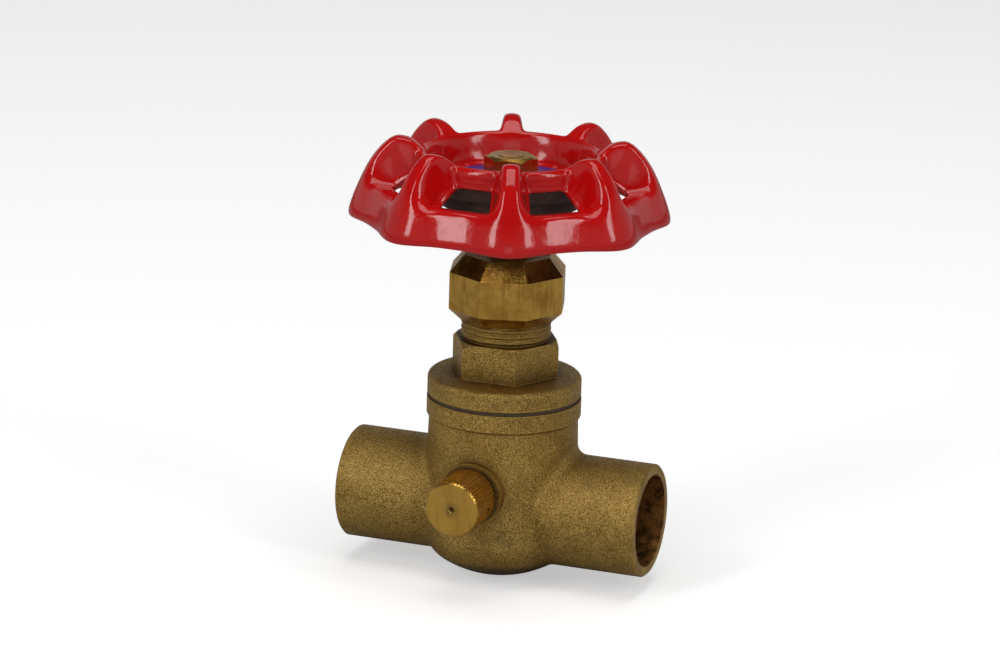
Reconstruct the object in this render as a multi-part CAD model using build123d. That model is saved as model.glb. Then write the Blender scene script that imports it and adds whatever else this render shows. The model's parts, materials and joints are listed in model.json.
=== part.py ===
from build123d import *
import os
from math import cos, pi, radians, sin, sqrt

# Stop valve with a side drain and solder cups, for nominal 1/2 inch copper tube.
# Millimetres. The pipe runs along X, the stem stands along +Z and the drain cap faces -Y.
# The origin is on the stem axis, level with the lowest point of the belly.

os.makedirs("parts", exist_ok=True)

# ---- driving dimensions -------------------------------------------------------------------
TUBE_DIAMETER = 15.875
CUP_RADIAL_GAP = 0.0375
CUP_RADIUS = TUBE_DIAMETER / 2 + CUP_RADIAL_GAP
CUP_DEPTH = 12.7
CUP_WALL = 1.8
HALF_LENGTH = 27.2
PIPE_Z = 12.7

FIT_GAP = 0.05
FREE_GAP = 0.3

# ---- body ---------------------------------------------------------------------------------
PIPE_RADIUS = CUP_RADIUS + CUP_WALL
PIPE_EDGE = 0.35
BELLY_RADIUS = 13.3
BELLY_CORNER = 6.0
BELLY_DOME = 19.2
BELLY_DOME_MIDDLE = 15.0
NECK_RADIUS = 12.85
NECK_BAND_RADIUS = 13.3
NECK_BAND_Z = PIPE_Z + 16.0
NECK_TOP_Z = PIPE_Z + 19.0
NECK_BLEND = 2.0
NECK_BORE = 10.8
PASSAGE_RADIUS = 6.4
SEAT_BORE = 5.0
SEAT_OUTER = 5.9
SEAT_Z = PIPE_Z + 3.0
SEAT_FLOOR_Z = PIPE_Z + 2.2
SEAT_FLOOR_RADIUS = 6.4
CHAMBER_TAPER = 0.6
CHAMBER_TAPER_Z = (PIPE_Z + 8.0, PIPE_Z + 9.5)
LOWER_CHAMBER_RADIUS = 6.2
LOWER_CHAMBER_Z = (PIPE_Z - 9.9, PIPE_Z + 0.5)
INLET_THROAT = (-6.0, PIPE_Z - 4.8, 4.4)
OUTLET_THROAT = (5.5, PIPE_Z + 7.5, 4.5)

# ---- side drain ---------------------------------------------------------------------------
DRAIN_X = -0.5
DRAIN_Z = PIPE_Z + 5.0
DRAIN_BOSS_RADIUS = 5.5
DRAIN_BOSS_Y = -14.3
DRAIN_BORE = 1.3
NIPPLE_RADIUS = 3.2
NIPPLE_SHOULDER_Y = -20.0
NOSE_RADIUS = 2.1
NOSE_Y = -20.6
CAP_RADIUS = 4.8
CAP_BASE_Y = -14.6
CAP_FACE_Y = -23.3
CAP_INNER_Y = -22.0
CAP_BORE_GAP = 0.08
CAP_RIM = 0.35
KNURL_TEETH = 48
KNURL_DEPTH = 0.22
BLEED_RADIUS = 0.55
BLEED_Y = -17.4
BLEED_TURN = 105
DIMPLE_RADIUS = 0.55
DIMPLE_POINT = 0.05
DRAIN_WASHER_RADIUS = 2.9
DRAIN_WASHER_GAP = 0.05

# ---- bonnet -------------------------------------------------------------------------------
GASKET_THICKNESS = 0.7
GASKET_RADIUS = 13.0
BONNET_FLANGE_RADIUS = 13.25
BONNET_FLANGE_Z = (NECK_TOP_Z + GASKET_THICKNESS, PIPE_Z + 22.9)
BONNET_FLANGE_EDGE = 0.9
BONNET_HEX_FLATS = 16.7
BONNET_HEX_Z = (PIPE_Z + 23.3, PIPE_Z + 29.5)
BONNET_HEX_CHAMFER = 0.9
BONNET_THREAD_RADIUS = 7.72
BONNET_THREAD_PITCH = 1.0
BONNET_THREAD_DEPTH = 0.35
BONNET_THREAD_RISE = 0.3
BONNET_THREAD_CREST = 0.15
BONNET_TOP_Z = PIPE_Z + 40.0
SPIGOT_RADIUS = NECK_BORE - FIT_GAP
SPIGOT_Z = PIPE_Z + 12.2
SPIGOT_HOLLOW_RADIUS = 8.0
SPIGOT_HOLLOW_Z = PIPE_Z + 18.5
PACKING_BOX_RADIUS = 5.0
PACKING_BOX_Z = PIPE_Z + 31.0

# ---- stem ---------------------------------------------------------------------------------
STEM_RADIUS = 3.2
STEM_THREAD_RADIUS = 3.6
STEM_THREAD_TOP_Z = PIPE_Z + 23.0
STEM_BUTTON_RADIUS = 4.4
STEM_BUTTON_Z = (PIPE_Z + 8.0, PIPE_Z + 9.5)
STEM_SQUARE = 4.6
STEM_SQUARE_Z = (PIPE_Z + 50.0, PIPE_Z + 56.8)
STEM_END_RADIUS = 2.2
STEM_END_Z = PIPE_Z + 61.5
STEM_GUIDE_Z = PIPE_Z + 28.5

# ---- packing ------------------------------------------------------------------------------
PACKING_WASHER_THICKNESS = 0.8
PACKING_RING_COUNT = 3
PACKING_RING_HEIGHT = 1.8
GLAND_FLANGE_RADIUS = 6.9
GLAND_FLANGE_Z = (BONNET_TOP_Z + 0.6, BONNET_TOP_Z + 2.0)
PACKING_NUT_CORNER = 10.45
PACKING_NUT_TURN = -6.3
PACKING_NUT_Z = (PIPE_Z + 32.9, PIPE_Z + 44.4)
PACKING_NUT_LOWER_CHAMFER = (2.3, 2.1)
PACKING_NUT_UPPER_CHAMFER = (2.6, 3.0)

# ---- disc assembly ------------------------------------------------------------------------
SEAT_GAP = 0.05
SEAT_DISC_RADIUS = 5.9
SEAT_DISC_Z = (SEAT_Z + SEAT_GAP, PIPE_Z + 5.6)
HOLDER_RADIUS = 6.9
HOLDER_RIM_Z = PIPE_Z + 3.9
HOLDER_SHOULDER_Z = PIPE_Z + 7.0
HOLDER_COLLAR_RADIUS = 6.2
HOLDER_TOP_Z = PIPE_Z + 11.0
HOLDER_NUT_RADIUS = 4.9
HOLDER_NUT_FLATS = 11.4
HOLDER_NUT_HEIGHT = 1.4
BUTTON_END_PLAY = 0.1
DISC_WASHER_RADIUS = 3.6
DISC_WASHER_THICKNESS = 0.7
SCREW_RADIUS = 1.5
SCREW_HEAD_RADIUS = 2.6
SCREW_HEAD_HEIGHT = 1.4
SCREW_TIP_Z = PIPE_Z + 7.3
SCREW_SLOT = (0.7, 0.6)

# ---- handwheel ----------------------------------------------------------------------------
LOBES = 8
LOBE_TURN = 19.75
WHEEL_Z = PIPE_Z + 51.0
WHEEL_TIP = 27.6
WHEEL_TROUGH = 25.7
SKIRT_HEIGHT = 6.0
SKIRT_TOP_RADIUS = 22.6
SKIRT_WALL = 1.5
SKIRT_WAVE_SHARPNESS = 1.6
WAVE_STEPS = 96
LOBE_WIDTH = 5.0
LOBE_EDGE = 1.3
LOBE_WALL = 1.5
LOBE_FOOT = 4.4
LOBE_CREST = 11.8
LOBE_EDGE_FROM = (16.5, 6.0)
LOBE_INNER = 14.7
LOBE_CREST_LINE = ((17.6, 13.0), (20.0, 12.4), (22.6, 10.4), (24.2, 8.2), (26.1, 4.0), (27.0, 0.0))
LOBE_FOOT_LINE = ((24.4, 0.0), (20.6, LOBE_FOOT))
WELL_RADIUS = 13.2
WELL_RIM_RADIUS = 14.3
RING_RADIUS = 15.9
RING_EDGE = 0.6
RING_TOP_Z = PIPE_Z + 61.6
RING_BOTTOM_Z = PIPE_Z + 54.0
WELL_FLOOR_Z = PIPE_Z + 56.8
HUB_RADIUS = 5.8
HUB_TIP_RADIUS = 4.6
HUB_TIP_Z = PIPE_Z + 47.0
HUB_TAPER = 3.0
SQUARE_GAP = 0.1
PLATE_RADIUS = 11.0
PLATE_THICKNESS = 0.4
PLATE_BORE = 2.4
WHEEL_NUT_FLATS = 8.0
WHEEL_NUT_TOP_Z = PIPE_Z + 61.4
WHEEL_NUT_TURN = 12.0
WHEEL_NUT_CHAMFER = 0.55

UPRIGHT = (Align.CENTER, Align.CENTER, Align.MIN)


# ---- helpers ------------------------------------------------------------------------------
def turned(points):
    """Solid of revolution about Z from (radius, height) corners."""
    return revolve(Plane.XZ * make_face(Polyline(*points, close=True)), Axis.Z)


def rod(radius, bottom, top):
    """Upright cylinder on the stem axis."""
    return Pos(0, 0, bottom) * Cylinder(radius, top - bottom, align=UPRIGHT)


def tube(outer, inner, bottom, top):
    """Upright tube on the stem axis."""
    return rod(outer, bottom, top) - rod(inner, bottom, top)


def prism(sides, corner_radius, bottom, top, turn=0.0):
    """Upright regular prism, its first corner turned from +X."""
    outline = Rot(0, 0, turn) * RegularPolygon(corner_radius, sides)
    return extrude(Pos(0, 0, bottom) * outline, top - bottom)


def tapered_prism(sides, bottom_corner, top_corner, bottom, top, turn=0.0):
    """Upright regular frustum with flat sloping sides."""
    lower = Rot(0, 0, turn) * RegularPolygon(bottom_corner, sides)
    upper = Rot(0, 0, turn) * RegularPolygon(top_corner, sides)
    return loft([Pos(0, 0, bottom) * lower, Pos(0, 0, top) * upper], ruled=True)


def pipe_rod(radius, start, end):
    """Cylinder along the pipe axis."""
    bar = Cylinder(radius, end - start, align=UPRIGHT)
    return Pos(start, 0, PIPE_Z) * Rot(0, 90, 0) * bar


def drain_rod(radius, start, end):
    """Cylinder along the drain axis; start and end are Y values, end further out."""
    bar = Cylinder(radius, start - end, align=UPRIGHT)
    return Pos(DRAIN_X, start, DRAIN_Z) * Rot(90, 0, 0) * bar


def hex_corner(flats):
    """Corner radius of a hexagon from its size across flats."""
    return flats / sqrt(3)


def save(shape, node):
    export_step(shape, "parts/" + node + ".step")


# ---- valve body ---------------------------------------------------------------------------
def body_shell():
    dome_centre = BELLY_DOME
    corner_r = BELLY_RADIUS - BELLY_CORNER
    corner_z = dome_centre - sqrt((BELLY_DOME - BELLY_CORNER) ** 2 - corner_r**2)
    reach = BELLY_DOME / (BELLY_DOME - BELLY_CORNER)
    blend = (corner_r * reach, dome_centre - (dome_centre - corner_z) * reach)
    corner_mid = (corner_r + BELLY_CORNER * cos(pi / 8), corner_z - BELLY_CORNER * sin(pi / 8))
    dome_angle = radians(BELLY_DOME_MIDDLE)
    dome_mid = (BELLY_DOME * sin(dome_angle), dome_centre - BELLY_DOME * cos(dome_angle))
    step = NECK_BAND_RADIUS - NECK_RADIUS
    outline = [
        Line((0, NECK_TOP_Z), (NECK_BAND_RADIUS, NECK_TOP_Z)),
        Line((NECK_BAND_RADIUS, NECK_TOP_Z), (NECK_BAND_RADIUS, NECK_BAND_Z)),
        Line((NECK_BAND_RADIUS, NECK_BAND_Z), (NECK_RADIUS, NECK_BAND_Z - step)),
        Line((NECK_RADIUS, NECK_BAND_Z - step), (BELLY_RADIUS, PIPE_Z)),
        Line((BELLY_RADIUS, PIPE_Z), (BELLY_RADIUS, corner_z)),
        ThreePointArc((BELLY_RADIUS, corner_z), corner_mid, blend),
        ThreePointArc(blend, dome_mid, (0, 0)),
        Line((0, 0), (0, NECK_TOP_Z)),
    ]
    belly = revolve(Plane.XZ * make_face(outline), Axis.Z)
    run = pipe_rod(PIPE_RADIUS, -HALF_LENGTH, HALF_LENGTH)
    run = chamfer(run.edges().filter_by(GeomType.CIRCLE), PIPE_EDGE)
    shell = belly + run
    shell = fillet(crotch_edges(shell), NECK_BLEND)
    boss = drain_rod(DRAIN_BOSS_RADIUS, -NECK_BORE, DRAIN_BOSS_Y)
    nipple = drain_rod(NIPPLE_RADIUS, DRAIN_BOSS_Y, NIPPLE_SHOULDER_Y)
    nose = drain_rod(NOSE_RADIUS, NIPPLE_SHOULDER_Y, NOSE_Y)
    return shell + boss + nipple + nose


def crotch_edges(shell):
    """Edges where the pipe runs out of the belly and the neck."""
    found = []
    for edge in shell.edges():
        middle = edge.position_at(0.5)
        across = abs(middle.X) > SEAT_BORE
        within = abs(middle.X) < BELLY_RADIUS + NECK_BLEND
        near_pipe = abs(sqrt(middle.Y**2 + (middle.Z - PIPE_Z) ** 2) - PIPE_RADIUS) < FIT_GAP
        if across and within and near_pipe:
            found.append(edge)
    return found


def throat(opening, mouth_x):
    """Tapered waterway from the cup's stop to an opening at (x, z, radius)."""
    x, z, radius = opening
    direction = 1 if x > mouth_x else -1
    near = Plane(origin=(mouth_x, 0, PIPE_Z), x_dir=(0, 1, 0), z_dir=(direction, 0, 0))
    far = Plane(origin=(x, 0, z), x_dir=(0, 1, 0), z_dir=(direction, 0, 0))
    return loft([near * Circle(PASSAGE_RADIUS), far * Circle(radius)])


def waterway():
    stop = HALF_LENGTH - CUP_DEPTH
    upper = turned([
        (0, SEAT_FLOOR_Z),
        (SEAT_FLOOR_RADIUS, SEAT_FLOOR_Z),
        (NECK_BORE - CHAMBER_TAPER, CHAMBER_TAPER_Z[0]),
        (NECK_BORE, CHAMBER_TAPER_Z[1]),
        (NECK_BORE, NECK_TOP_Z),
        (0, NECK_TOP_Z),
    ])
    lower = rod(LOWER_CHAMBER_RADIUS, *LOWER_CHAMBER_Z)
    seat_hole = rod(SEAT_BORE, LOWER_CHAMBER_Z[0], SEAT_Z)
    hollow = upper + lower + seat_hole
    hollow += throat(INLET_THROAT, -stop) + throat(OUTLET_THROAT, stop)
    hollow += pipe_rod(CUP_RADIUS, -HALF_LENGTH, -stop)
    hollow += pipe_rod(CUP_RADIUS, stop, HALF_LENGTH)
    return hollow + drain_rod(DRAIN_BORE, -SEAT_FLOOR_RADIUS, NOSE_Y)


def valve_body():
    seat_ring = tube(SEAT_OUTER, SEAT_BORE, SEAT_FLOOR_Z, SEAT_Z)
    return body_shell() - waterway() + seat_ring


# ---- bonnet -------------------------------------------------------------------------------
def bonnet():
    low, high = BONNET_FLANGE_Z
    flange = turned([
        (0, low),
        (BONNET_FLANGE_RADIUS, low),
        (BONNET_FLANGE_RADIUS, high),
        (hex_corner(BONNET_HEX_FLATS), BONNET_HEX_Z[0]),
        (0, BONNET_HEX_Z[0]),
    ])
    rim = flange.edges().filter_by(GeomType.CIRCLE).filter_by(
        lambda edge: edge.radius > GASKET_RADIUS and edge.center().Z > low + FIT_GAP)
    flange = fillet(rim, BONNET_FLANGE_EDGE)
    spigot = rod(SPIGOT_RADIUS, SPIGOT_Z, low)
    corner = hex_corner(BONNET_HEX_FLATS)
    hexagon = prism(6, corner, low, BONNET_HEX_Z[1])
    crown = turned([
        (0, low),
        (corner, low),
        (corner, BONNET_HEX_Z[1] - BONNET_HEX_CHAMFER),
        (corner - BONNET_HEX_CHAMFER, BONNET_HEX_Z[1]),
        (0, BONNET_HEX_Z[1]),
    ])
    solid = flange + spigot + (hexagon & crown) + bonnet_thread()
    hollow = rod(SPIGOT_HOLLOW_RADIUS, SPIGOT_Z, SPIGOT_HOLLOW_Z)
    hollow += rod(STEM_THREAD_RADIUS + FIT_GAP, SPIGOT_HOLLOW_Z, STEM_GUIDE_Z)
    hollow += rod(STEM_RADIUS + FIT_GAP, STEM_GUIDE_Z, PACKING_BOX_Z)
    hollow += rod(PACKING_BOX_RADIUS, PACKING_BOX_Z, BONNET_TOP_Z)
    return solid - hollow


def bonnet_thread():
    """Upper neck with ring grooves for its thread."""
    base = BONNET_HEX_Z[1]
    root = BONNET_THREAD_RADIUS - BONNET_THREAD_DEPTH
    rise = BONNET_THREAD_RISE * BONNET_THREAD_PITCH
    crest = BONNET_THREAD_CREST * BONNET_THREAD_PITCH
    outline = [(0, base), (root, base)]
    turns = int((BONNET_TOP_Z - base) / BONNET_THREAD_PITCH)
    for turn in range(turns):
        start = base + turn * BONNET_THREAD_PITCH + rise
        outline.append((root, start))
        outline.append((BONNET_THREAD_RADIUS, start + rise))
        outline.append((BONNET_THREAD_RADIUS, start + rise + crest))
    outline.append((root, BONNET_TOP_Z))
    outline.append((0, BONNET_TOP_Z))
    return turned(outline)


def bonnet_gasket():
    return tube(GASKET_RADIUS, SPIGOT_RADIUS + FIT_GAP, NECK_TOP_Z, BONNET_FLANGE_Z[0])


# ---- packing ------------------------------------------------------------------------------
def packing_washer():
    top = PACKING_BOX_Z + PACKING_WASHER_THICKNESS
    return tube(PACKING_BOX_RADIUS - FIT_GAP, STEM_RADIUS + FIT_GAP, PACKING_BOX_Z, top)


def packing_ring(place):
    bottom = PACKING_BOX_Z + PACKING_WASHER_THICKNESS + place * PACKING_RING_HEIGHT
    top = bottom + PACKING_RING_HEIGHT
    return tube(PACKING_BOX_RADIUS - FIT_GAP, STEM_RADIUS + FIT_GAP, bottom, top)


def packing_gland():
    rings = PACKING_RING_COUNT * PACKING_RING_HEIGHT
    bottom = PACKING_BOX_Z + PACKING_WASHER_THICKNESS + rings
    low, high = GLAND_FLANGE_Z
    sleeve = rod(PACKING_BOX_RADIUS - FIT_GAP, bottom, high)
    flange = rod(GLAND_FLANGE_RADIUS, low, high)
    return sleeve + flange - rod(STEM_RADIUS + FIT_GAP, bottom, high)


def packing_nut():
    low, high = PACKING_NUT_Z
    corner = PACKING_NUT_CORNER
    lower_in, lower_up = PACKING_NUT_LOWER_CHAMFER
    upper_in, upper_down = PACKING_NUT_UPPER_CHAMFER
    turn = PACKING_NUT_TURN
    nut = prism(8, corner, low + lower_up, high - upper_down, turn)
    nut += tapered_prism(8, corner - lower_in, corner, low, low + lower_up, turn)
    nut += tapered_prism(8, corner, corner - upper_in, high - upper_down, high, turn)
    bore = rod(BONNET_THREAD_RADIUS + FIT_GAP, low, GLAND_FLANGE_Z[1])
    return nut - bore - rod(STEM_RADIUS + FREE_GAP, low, high)


# ---- stem and disc ------------------------------------------------------------------------
def stem():
    low, high = STEM_BUTTON_Z
    shaft = turned([
        (0, low),
        (STEM_BUTTON_RADIUS, low),
        (STEM_BUTTON_RADIUS, high),
        (STEM_THREAD_RADIUS, high),
        (STEM_THREAD_RADIUS, STEM_THREAD_TOP_Z),
        (STEM_RADIUS, STEM_THREAD_TOP_Z + STEM_THREAD_RADIUS - STEM_RADIUS),
        (STEM_RADIUS, STEM_SQUARE_Z[0]),
        (0, STEM_SQUARE_Z[0]),
    ])
    square = Box(STEM_SQUARE, STEM_SQUARE, STEM_SQUARE_Z[1] - STEM_SQUARE_Z[0], align=UPRIGHT)
    square = Pos(0, 0, STEM_SQUARE_Z[0]) * Rot(0, 0, LOBE_TURN) * square
    square = square & rod(STEM_RADIUS, *STEM_SQUARE_Z)
    return shaft + square + rod(STEM_END_RADIUS, STEM_SQUARE_Z[1], STEM_END_Z)


def disc_holder():
    body = rod(HOLDER_RADIUS, HOLDER_RIM_Z, HOLDER_SHOULDER_Z)
    body += rod(HOLDER_COLLAR_RADIUS, HOLDER_SHOULDER_Z, HOLDER_TOP_Z)
    cavity_floor = STEM_BUTTON_Z[0] - BUTTON_END_PLAY
    cavity_top = STEM_BUTTON_Z[1] + BUTTON_END_PLAY
    body -= rod(SEAT_DISC_RADIUS + FIT_GAP, HOLDER_RIM_Z, SEAT_DISC_Z[1])
    body -= rod(SCREW_RADIUS, SEAT_DISC_Z[1], SCREW_TIP_Z)
    body -= rod(STEM_BUTTON_RADIUS + BUTTON_END_PLAY, cavity_floor, cavity_top)
    return body - rod(HOLDER_NUT_RADIUS, cavity_top, HOLDER_TOP_Z)


def disc_holder_nut():
    bottom = STEM_BUTTON_Z[1] + BUTTON_END_PLAY
    top = HOLDER_TOP_Z + HOLDER_NUT_HEIGHT
    sleeve = rod(HOLDER_NUT_RADIUS, bottom, HOLDER_TOP_Z)
    head = prism(6, hex_corner(HOLDER_NUT_FLATS), HOLDER_TOP_Z, top)
    return sleeve + head - rod(STEM_THREAD_RADIUS + FIT_GAP, bottom, top)


def seat_disc():
    return tube(SEAT_DISC_RADIUS, SCREW_RADIUS, *SEAT_DISC_Z)


def disc_washer():
    top = SEAT_DISC_Z[0]
    return tube(DISC_WASHER_RADIUS, SCREW_RADIUS, top - DISC_WASHER_THICKNESS, top)


def disc_screw():
    head_top = SEAT_DISC_Z[0] - DISC_WASHER_THICKNESS
    head_bottom = head_top - SCREW_HEAD_HEIGHT
    slot_width, slot_depth = SCREW_SLOT
    screw = rod(SCREW_HEAD_RADIUS, head_bottom, head_top) + rod(SCREW_RADIUS, head_top, SCREW_TIP_Z)
    slot = Box(2 * SCREW_HEAD_RADIUS, slot_width, slot_depth, align=UPRIGHT)
    return screw - Pos(0, 0, head_bottom) * slot


# ---- handwheel ----------------------------------------------------------------------------
def wave_face(z, trough, crest):
    """Flat face with one outward swell for each lobe."""
    points = []
    for step in range(WAVE_STEPS):
        angle = 2 * pi * step / WAVE_STEPS
        swell = ((1 + cos(LOBES * angle)) / 2) ** SKIRT_WAVE_SHARPNESS
        radius = trough + (crest - trough) * swell
        points.append((radius * cos(angle), radius * sin(angle)))
    return Pos(0, 0, z) * make_face(Spline(*points, periodic=True))


def skirt():
    """Flared rim of the wheel, open below."""
    top = WHEEL_Z + SKIRT_HEIGHT
    swell = (WHEEL_TIP - WHEEL_TROUGH) / 3
    outside = loft([
        wave_face(WHEEL_Z, WHEEL_TROUGH, WHEEL_TIP),
        wave_face(top, SKIRT_TOP_RADIUS, SKIRT_TOP_RADIUS + swell),
    ])
    inside = loft([
        wave_face(WHEEL_Z, WHEEL_TROUGH - SKIRT_WALL, WHEEL_TIP - SKIRT_WALL),
        wave_face(top, SKIRT_TOP_RADIUS - SKIRT_WALL, SKIRT_TOP_RADIUS + swell - SKIRT_WALL),
    ])
    return outside - inside


def lobe_section(wall):
    """Radial outline of one lobe, or of its hollow, which is a wall's thickness smaller."""
    points = [(LOBE_INNER, WHEEL_Z + LOBE_FOOT), (LOBE_INNER, WHEEL_Z + LOBE_CREST - wall)]
    for radius, height in LOBE_CREST_LINE:
        drop = min(wall, height)
        points.append((radius - wall, WHEEL_Z + height - drop))
    for radius, height in LOBE_FOOT_LINE:
        points.append((radius - wall, WHEEL_Z + height))
    return make_face(Polyline(*points, close=True))


def lobe():
    """One finger lobe standing on +X, and the hollow inside it."""
    solid = extrude(Plane.XZ * lobe_section(0.0), LOBE_WIDTH / 2, both=True)
    least_x, least_z = LOBE_EDGE_FROM
    long_edges = solid.edges().filter_by(Plane.XZ).filter_by_position(
        Axis.Z, WHEEL_Z + least_z, WHEEL_Z + 2 * LOBE_CREST)
    solid = fillet(long_edges.filter_by(lambda edge: edge.center().X > least_x), LOBE_EDGE)
    core = extrude(Plane.XZ * lobe_section(LOBE_WALL), LOBE_WIDTH / 2 - LOBE_WALL, both=True)
    return solid, core


def wheel_centre():
    """Hub, web and raised ring that holds the plate."""
    return turned([
        (0, HUB_TIP_Z),
        (HUB_TIP_RADIUS, HUB_TIP_Z),
        (HUB_RADIUS, HUB_TIP_Z + HUB_TAPER),
        (HUB_RADIUS, RING_BOTTOM_Z),
        (RING_RADIUS, RING_BOTTOM_Z),
        (RING_RADIUS, RING_TOP_Z - RING_EDGE),
        (RING_RADIUS - RING_EDGE, RING_TOP_Z),
        (WELL_RIM_RADIUS, RING_TOP_Z),
        (WELL_RADIUS, WELL_FLOOR_Z),
        (0, WELL_FLOOR_Z),
    ])


def handwheel():
    wheel = skirt()
    lobe_solid, lobe_core = lobe()
    turns = [Rot(0, 0, place * 360 / LOBES) for place in range(LOBES)]
    for turn in turns:
        wheel += turn * lobe_solid
    for turn in turns:
        wheel -= turn * lobe_core
    wheel += wheel_centre()
    side = STEM_SQUARE + 2 * SQUARE_GAP
    hole = Box(side, side, STEM_SQUARE_Z[1] - STEM_SQUARE_Z[0], align=UPRIGHT)
    wheel -= Pos(0, 0, STEM_SQUARE_Z[0]) * hole
    wheel -= rod(STEM_RADIUS + FIT_GAP, HUB_TIP_Z, STEM_SQUARE_Z[0])
    return Rot(0, 0, LOBE_TURN) * wheel


def identification_plate():
    return tube(PLATE_RADIUS, PLATE_BORE, WELL_FLOOR_Z, WELL_FLOOR_Z + PLATE_THICKNESS)


def handwheel_nut():
    low = WELL_FLOOR_Z + PLATE_THICKNESS
    high = WHEEL_NUT_TOP_Z
    corner = hex_corner(WHEEL_NUT_FLATS)
    crown = turned([
        (0, low),
        (corner, low),
        (corner, high - WHEEL_NUT_CHAMFER),
        (corner - 2 * WHEEL_NUT_CHAMFER, high),
        (0, high),
    ])
    nut = prism(6, corner, low, high, WHEEL_NUT_TURN) & crown
    return nut - rod(STEM_END_RADIUS + FIT_GAP, low, high)


# ---- drain cap ----------------------------------------------------------------------------
def knurled_bar():
    """Straight-knurled bar along the drain axis."""
    points = []
    for tooth in range(KNURL_TEETH):
        peak = 2 * pi * tooth / KNURL_TEETH
        valley = peak + pi / KNURL_TEETH
        root = CAP_RADIUS - KNURL_DEPTH
        points.append((CAP_RADIUS * cos(peak), CAP_RADIUS * sin(peak)))
        points.append((root * cos(valley), root * sin(valley)))
    bar = extrude(make_face(Polyline(*points, close=True)), CAP_BASE_Y - CAP_FACE_Y)
    return Pos(DRAIN_X, CAP_BASE_Y, DRAIN_Z) * Rot(90, 0, 0) * bar


def drain_cap():
    length = CAP_BASE_Y - CAP_FACE_Y
    rounded = Cylinder(CAP_RADIUS, length, align=UPRIGHT)
    rounded = chamfer(rounded.edges().filter_by(GeomType.CIRCLE), CAP_RIM)
    cap = knurled_bar() & (Pos(DRAIN_X, CAP_BASE_Y, DRAIN_Z) * Rot(90, 0, 0) * rounded)
    cap -= drain_rod(NIPPLE_RADIUS + CAP_BORE_GAP, CAP_BASE_Y, CAP_INNER_Y)
    dimple = Pos(DRAIN_X, CAP_FACE_Y, DRAIN_Z) * Rot(-90, 0, 0) * Cone(
        DIMPLE_RADIUS, DIMPLE_POINT, DIMPLE_RADIUS, align=UPRIGHT)
    bleed = Cylinder(BLEED_RADIUS, 2 * CAP_RADIUS, align=UPRIGHT)
    bleed = Pos(DRAIN_X, BLEED_Y, DRAIN_Z) * Rot(0, BLEED_TURN, 0) * bleed
    return cap - dimple - bleed


def drain_washer():
    return drain_rod(DRAIN_WASHER_RADIUS, NOSE_Y - DRAIN_WASHER_GAP, CAP_INNER_Y)


# ---- write every piece --------------------------------------------------------------------
save(valve_body(), "valve_body")
save(bonnet(), "bonnet")
save(bonnet_gasket(), "bonnet_gasket")
save(packing_washer(), "packing_washer")
for ring in range(PACKING_RING_COUNT):
    save(packing_ring(ring), f"packing_ring_{ring + 1}")
save(packing_gland(), "packing_gland")
save(packing_nut(), "packing_nut")
save(stem(), "stem")
save(disc_holder(), "disc_holder")
save(disc_holder_nut(), "disc_holder_nut")
save(seat_disc(), "seat_disc")
save(disc_washer(), "disc_washer")
save(disc_screw(), "disc_screw")
save(handwheel(), "handwheel")
save(identification_plate(), "identification_plate")
save(handwheel_nut(), "handwheel_nut")
save(drain_cap(), "drain_cap")
save(drain_washer(), "drain_washer")
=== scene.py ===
"""Stop valve with a side drain: camera, studio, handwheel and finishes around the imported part."""
import json
from math import cos, pi, radians, sin, sqrt

import bmesh
import bpy
from bpy.props import FloatProperty, FloatVectorProperty, IntProperty, PointerProperty
from mathutils import Matrix, Vector


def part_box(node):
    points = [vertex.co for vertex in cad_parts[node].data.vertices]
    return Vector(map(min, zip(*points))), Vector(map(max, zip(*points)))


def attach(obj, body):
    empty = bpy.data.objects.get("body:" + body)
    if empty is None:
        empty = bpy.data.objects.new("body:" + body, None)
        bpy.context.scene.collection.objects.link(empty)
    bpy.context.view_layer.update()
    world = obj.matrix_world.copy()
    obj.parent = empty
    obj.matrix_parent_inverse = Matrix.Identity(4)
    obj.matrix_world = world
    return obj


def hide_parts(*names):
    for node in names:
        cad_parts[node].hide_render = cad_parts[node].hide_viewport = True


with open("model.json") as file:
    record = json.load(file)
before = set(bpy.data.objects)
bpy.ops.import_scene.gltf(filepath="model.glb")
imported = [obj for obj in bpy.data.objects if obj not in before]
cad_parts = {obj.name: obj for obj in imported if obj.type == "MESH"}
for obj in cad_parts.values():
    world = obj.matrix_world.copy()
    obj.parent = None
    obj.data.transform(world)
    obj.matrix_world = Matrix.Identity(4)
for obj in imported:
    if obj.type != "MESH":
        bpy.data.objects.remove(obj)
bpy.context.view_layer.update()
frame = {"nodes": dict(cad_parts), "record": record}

bl_info = {
    "name": "Stop Valve Looks",
    "version": (1, 0, 0),
    "blender": (4, 5, 0),
    "location": "3D View > Sidebar > Stop Valve",
    "description": "Builds the handwheel, the finishes and the studio of a solder-end stop valve",
    "category": "Object",
}

MM = 0.001
SKIN = 0.15 * MM  # how near a surface has to be to a face or a bore to count as part of it
STEM_BODY = "stem_and_wheel"

# Levels of the wheel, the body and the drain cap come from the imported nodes.
WHEEL_LOW, WHEEL_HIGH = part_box("handwheel")
BODY_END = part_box("valve_body")[1].x
CAP_LOW, CAP_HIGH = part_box("drain_cap")
CUP = next(mount for mount in frame["record"]["mounts"] if mount["name"] == "outlet_cup")
CREST_HEIGHT = 13.0 * MM
RIM_Z = WHEEL_HIGH.z - CREST_HEIGHT
SMUDGE_RADII = (1.9 * MM, 0.5 * MM)
SMUDGE_DEPTH = 0.6 * MM


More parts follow.
